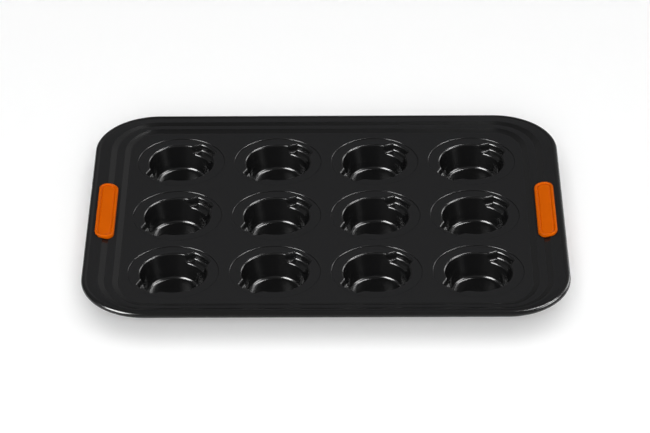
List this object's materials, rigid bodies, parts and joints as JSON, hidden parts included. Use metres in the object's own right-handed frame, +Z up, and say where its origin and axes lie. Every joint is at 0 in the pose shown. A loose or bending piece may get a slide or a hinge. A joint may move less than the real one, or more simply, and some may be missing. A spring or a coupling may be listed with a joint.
{
  "type": "muffin pan",
  "caption": "Black non-stick steel muffin pan with round pot-shaped cups that have small lug pockets, a rolled flange and orange silicone grips.",
  "frame": {"origin": "middle of the pan, on the surface that its cups stand on", "axes": "+X along the pan's length, +Y across it, +Z up out of the cups"},
  "size_m": [0.4, 0.3024, 0.0304],
  "materials": {
    "coated_steel": "satin black non-stick coating on steel sheet",
    "wire": "drawn steel wire",
    "silicone": "satin orange silicone"
  },
  "bodies": {
    "root": {"deck_sheet": "coated_steel", "rim_wire": "wire", "cup_row1_col1": "coated_steel", "cup_row1_col2": "coated_steel", "cup_row1_col3": "coated_steel", "cup_row1_col4": "coated_steel", "cup_row2_col1": "coated_steel", "cup_row2_col2": "coated_steel", "cup_row2_col3": "coated_steel", "cup_row2_col4": "coated_steel", "cup_row3_col1": "coated_steel", "cup_row3_col2": "coated_steel", "cup_row3_col3": "coated_steel", "cup_row3_col4": "coated_steel", "grip_right": "silicone", "grip_left": "silicone"}
  },
  "joints": []
}
